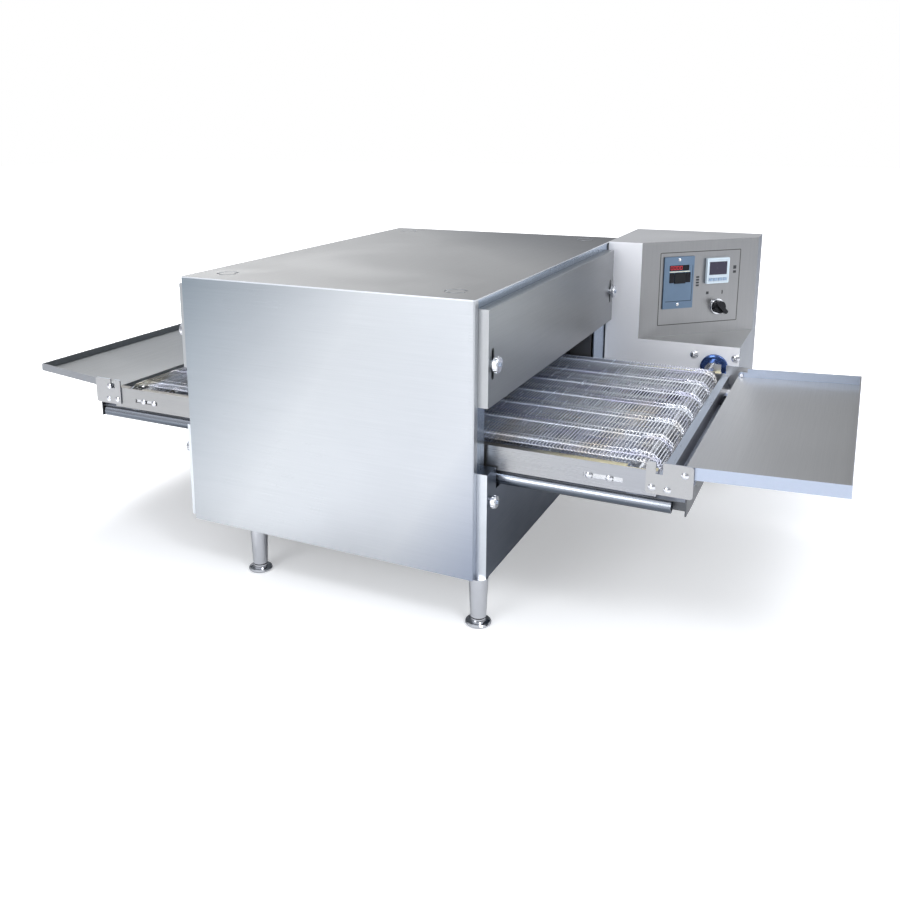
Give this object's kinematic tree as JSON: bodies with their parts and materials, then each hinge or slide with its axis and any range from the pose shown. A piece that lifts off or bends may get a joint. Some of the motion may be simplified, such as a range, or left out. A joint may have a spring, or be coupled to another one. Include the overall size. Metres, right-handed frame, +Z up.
{
  "type": "conveyor pizza oven",
  "caption": "Countertop conveyor pizza oven: insulated tunnel on short legs, wire belt, tilting end trays, crumb trays, and a control box with an angled panel.",
  "frame": {"origin": "on the floor at the centre of the footprint", "axes": "+X the way the belt travels, towards the exit; +Y away from the plain side panel, towards the control box; +Z up"},
  "size_m": [1.334, 0.925, 0.472],
  "materials": {
    "stainless": "satin",
    "polished_steel": "polished",
    "nut_steel": "gloss",
    "belt_wire": "satin",
    "galvanised": "matte",
    "shaft_steel": "gloss",
    "sprocket_steel": "satin",
    "insulation_wool": "matte",
    "heater_sheath": "matte",
    "impeller_steel": "satin",
    "motor_paint": "satin",
    "gearbox_alloy": "satin",
    "controller_blue": "satin",
    "controller_light": "satin",
    "dark_plastic": "satin",
    "key_plastic": "satin"
  },
  "bodies": {
    "casing": {"near_side_panel": "stainless", "far_side_panel": "stainless", "top_cover": "stainless", "base_pan": "galvanised", "exit_end_frame": "stainless", "infeed_end_frame": "stainless", "lower_plates": "stainless", "legs": "polished_steel", "chamber_liner": "stainless", "return_air_wall": "stainless", "blower_bulkhead": "galvanised", "air_fingers": "stainless", "heating_element": "heater_sheath", "blower_motor": "motor_paint", "insulation": "insulation_wool", "near_rail": "stainless", "far_rail": "stainless", "tray_runners": "stainless", "belt_supports": "galvanised", "belt": "belt_wire", "shaft_bearings": "shaft_steel", "exit_conveyor_end": "stainless", "infeed_conveyor_end": "stainless", "control_box_base": "stainless", "control_box_hood": "stainless", "control_box_back_cover": "stainless", "cable_gland": "dark_plastic", "drive_gearmotor": "gearbox_alloy", "control_panel_plate": "stainless", "speed_controller": "controller_blue", "temp_controller": "controller_light", "selector_bezel": "polished_steel", "screws": "nut_steel"},
    "drive_train": {"drive_shaft": "shaft_steel", "drive_sprockets": "sprocket_steel"},
    "idler_train": {"idler_shaft": "shaft_steel", "idler_sprockets": "sprocket_steel"},
    "blower": {"blower_impeller": "impeller_steel"},
    "exit_baffle": {"exit_baffle": "stainless"},
    "infeed_baffle": {"infeed_baffle": "stainless"},
    "selector_knob": {"selector_knob": "dark_plastic"},
    "speed_rocker": {"speed_rocker": "dark_plastic"},
    "exit_tray": {"exit_tray": "stainless"},
    "infeed_tray": {"infeed_tray": "stainless"},
    "exit_crumb_tray": {"exit_crumb_tray": "stainless"},
    "infeed_crumb_tray": {"infeed_crumb_tray": "stainless"},
    "foot_exit_near": {"foot_exit_near": "polished_steel"},
    "foot_exit_far": {"foot_exit_far": "polished_steel"},
    "foot_infeed_near": {"foot_infeed_near": "polished_steel"},
    "foot_infeed_far": {"foot_infeed_far": "polished_steel"},
    "exit_thumb_nut_near": {"exit_thumb_nut_near": "nut_steel"},
    "exit_thumb_nut_far": {"exit_thumb_nut_far": "nut_steel"},
    "exit_thumb_nut_low": {"exit_thumb_nut_low": "nut_steel"},
    "infeed_thumb_nut_near": {"infeed_thumb_nut_near": "nut_steel"},
    "infeed_thumb_nut_far": {"infeed_thumb_nut_far": "nut_steel"},
    "infeed_thumb_nut_low": {"infeed_thumb_nut_low": "nut_steel"},
    "temp_key_1": {"temp_key_1": "key_plastic"},
    "temp_key_2": {"temp_key_2": "key_plastic"},
    "temp_key_3": {"temp_key_3": "key_plastic"},
    "temp_key_4": {"temp_key_4": "key_plastic"}
  },
  "joints": [
    {"name": "drive_turn", "type": "hinge", "parent": "casing", "child": "drive_train", "pos_m": [0.416, 0, 0.243], "axis": [0, 1, 0], "continuous": true},
    {"name": "idler_turn", "type": "hinge", "parent": "casing", "child": "idler_train", "pos_m": [-0.445, 0, 0.243], "axis": [0, 1, 0], "continuous": true},
    {"name": "blower_turn", "type": "hinge", "parent": "casing", "child": "blower", "pos_m": [-0.039, 0, 0.285], "axis": [0, 1, 0], "continuous": true},
    {"name": "exit_baffle_slide", "type": "slide", "parent": "casing", "child": "exit_baffle", "axis": [0, 0, 1], "range_m": [-0.018, 0.011]},
    {"name": "infeed_baffle_slide", "type": "slide", "parent": "casing", "child": "infeed_baffle", "axis": [0, 0, 1], "range_m": [-0.018, 0.011]},
    {"name": "foot_exit_near_turn", "type": "hinge", "parent": "casing", "child": "foot_exit_near", "pos_m": [0.208, -0.444, 0.02], "axis": [0, 0, 1], "continuous": true},
    {"name": "foot_exit_far_turn", "type": "hinge", "parent": "casing", "child": "foot_exit_far", "pos_m": [0.208, 0.262, 0.02], "axis": [0, 0, 1], "continuous": true},
    {"name": "foot_infeed_near_turn", "type": "hinge", "parent": "casing", "child": "foot_infeed_near", "pos_m": [-0.17, -0.444, 0.02], "axis": [0, 0, 1], "continuous": true},
    {"name": "foot_infeed_far_turn", "type": "hinge", "parent": "casing", "child": "foot_infeed_far", "pos_m": [-0.17, 0.262, 0.02], "axis": [0, 0, 1], "continuous": true},
    {"name": "exit_thumb_nut_near_turn", "type": "hinge", "parent": "casing", "child": "exit_thumb_nut_near", "pos_m": [0.226, -0.433, 0.381], "axis": [1, 0, 0], "continuous": true},
    {"name": "exit_thumb_nut_far_turn", "type": "hinge", "parent": "casing", "child": "exit_thumb_nut_far", "pos_m": [0.226, 0.179, 0.381], "axis": [1, 0, 0], "continuous": true},
    {"name": "exit_thumb_nut_low_turn", "type": "hinge", "parent": "casing", "child": "exit_thumb_nut_low", "pos_m": [0.226, -0.436, 0.185], "axis": [1, 0, 0], "continuous": true},
    {"name": "infeed_thumb_nut_near_turn", "type": "hinge", "parent": "casing", "child": "infeed_thumb_nut_near", "pos_m": [-0.304, -0.433, 0.381], "axis": [1, 0, 0], "continuous": true},
    {"name": "infeed_thumb_nut_far_turn", "type": "hinge", "parent": "casing", "child": "infeed_thumb_nut_far", "pos_m": [-0.304, 0.179, 0.381], "axis": [1, 0, 0], "continuous": true},
    {"name": "infeed_thumb_nut_low_turn", "type": "hinge", "parent": "casing", "child": "infeed_thumb_nut_low", "pos_m": [-0.304, -0.436, 0.185], "axis": [1, 0, 0], "continuous": true},
    {"name": "selector_turn", "type": "hinge", "parent": "casing", "child": "selector_knob", "pos_m": [0.397, 0.335, 0.338], "axis": [-0.6897, 0.7241, 0], "range_deg": [0, 90]},
    {"name": "temp_key_1_press", "type": "slide", "parent": "casing", "child": "temp_key_1", "axis": [-0.6897, 0.7241, 0], "range_m": [0, 0.0008], "stiffness_N_per_m": 200},
    {"name": "temp_key_2_press", "type": "slide", "parent": "casing", "child": "temp_key_2", "axis": [-0.6897, 0.7241, 0], "range_m": [0, 0.0008], "stiffness_N_per_m": 200},
    {"name": "temp_key_3_press", "type": "slide", "parent": "casing", "child": "temp_key_3", "axis": [-0.6897, 0.7241, 0], "range_m": [0, 0.0008], "stiffness_N_per_m": 200},
    {"name": "temp_key_4_press", "type": "slide", "parent": "casing", "child": "temp_key_4", "axis": [-0.6897, 0.7241, 0], "range_m": [0, 0.0008], "stiffness_N_per_m": 200},
    {"name": "speed_rocker_tilt", "type": "hinge", "parent": "casing", "child": "speed_rocker", "pos_m": [0.33183, 0.27293, 0.4], "axis": [0.7241, 0.6897, 0], "range_deg": [-6, 6], "stiffness_Nm_per_rad": 0.05},
    {"name": "exit_tray_tilt", "type": "hinge", "parent": "casing", "child": "exit_tray", "pos_m": [0.476, 0, 0.257], "axis": [0, -1, 0], "range_deg": [0, 60]},
    {"name": "infeed_tray_tilt", "type": "hinge", "parent": "casing", "child": "infeed_tray", "pos_m": [-0.5, 0, 0.257], "axis": [0, 1, 0], "range_deg": [0, 60]},
    {"name": "exit_crumb_tray_slide", "type": "slide", "parent": "casing", "child": "exit_crumb_tray", "axis": [1, 0, 0], "range_m": [0, 0.2]},
    {"name": "infeed_crumb_tray_slide", "type": "slide", "parent": "casing", "child": "infeed_crumb_tray", "axis": [-1, 0, 0], "range_m": [0, 0.17]}
  ],
  "couplings": [
    {"joint": "idler_turn", "follows": "drive_turn", "ratio": 1}
  ]
}
